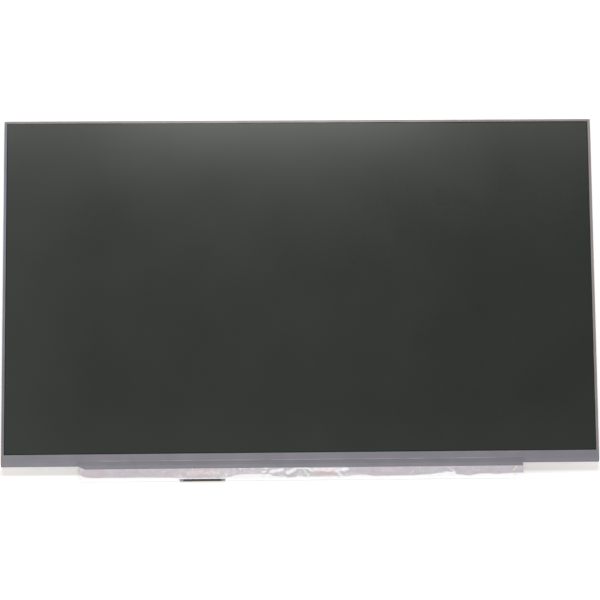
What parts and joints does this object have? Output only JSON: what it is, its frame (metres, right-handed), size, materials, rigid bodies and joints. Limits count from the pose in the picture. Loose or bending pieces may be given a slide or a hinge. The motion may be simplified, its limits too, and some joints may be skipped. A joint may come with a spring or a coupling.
{
  "type": "laptop screen panel",
  "caption": "Bare bracketless laptop display module: matt glass panel in a thin taped frame, with a foil-covered driver board and cable socket along its lower edge.",
  "frame": {"origin": "middle of the body's outline on the back plate's rear face, which the panel rests on", "axes": "+Z out of the picture towards the viewer, +Y to the picture's top, +X to the viewer's right along the long edge"},
  "size_m": [0.3506, 0.2139, 0.0026],
  "materials": {
    "plate_metal": "satin rolled sheet",
    "frame_plastic": "fine moulded texture",
    "reflector_film": "bright white film",
    "acrylic": "polished clear sheet",
    "flex_circuit": "amber flexible circuit",
    "light_plastic": "white moulded",
    "phosphor": "yellow gel",
    "adhesive": "thin adhesive film",
    "diffuser_film": "frosted film",
    "prism_film": "fine ridged film",
    "black_tape": "black tape",
    "polariser_film": "glossy grey film",
    "matt_polariser": "anti-glare haze",
    "panel_glass": "polished, black behind",
    "driver_film": "thin brown film",
    "silicon": "polished chip back",
    "board_laminate": "green solder mask",
    "connector_plastic": "black moulded",
    "shell_steel": "tinned sheet",
    "gold_plate": "gold plated",
    "chip_resin": "fine moulded resin",
    "ferrite": "dark ferrite",
    "ceramic_body": "fired ceramic",
    "tin_plate": "matt tin",
    "grey_tape": "matt film tape",
    "silver_foil": "crinkled silver foil"
  },
  "bodies": {
    "root": {"back_plate": "plate_metal", "middle_frame": "frame_plastic", "reflector_sheet": "reflector_film", "light_guide": "acrylic", "light_strip": "flex_circuit", "light_packages": "light_plastic", "phosphor_windows": "phosphor", "strip_adhesive": "adhesive", "light_guide_adhesive": "adhesive", "lower_diffuser": "diffuser_film", "lower_prism_sheet": "prism_film", "upper_prism_sheet": "prism_film", "upper_diffuser": "diffuser_film", "rim_tape": "black_tape", "rear_polariser": "polariser_film", "array_glass": "panel_glass", "colour_filter_glass": "panel_glass", "front_polariser": "matt_polariser", "driver_films": "driver_film", "driver_chips": "silicon", "circuit_board": "board_laminate", "connector_housing": "connector_plastic", "connector_shell": "shell_steel", "connector_contacts": "gold_plate", "timing_controller": "chip_resin", "power_chip": "chip_resin", "backlight_chip": "chip_resin", "gamma_chip": "chip_resin", "memory_chip": "chip_resin", "inductors": "ferrite", "diodes": "chip_resin", "chip_capacitors": "ceramic_body", "chip_resistors": "chip_resin", "chip_terminals": "tin_plate", "front_strip_tape": "grey_tape", "left_edge_tape": "grey_tape", "right_edge_tape": "grey_tape", "top_edge_tape": "grey_tape", "board_foil": "silver_foil"}
  },
  "joints": []
}
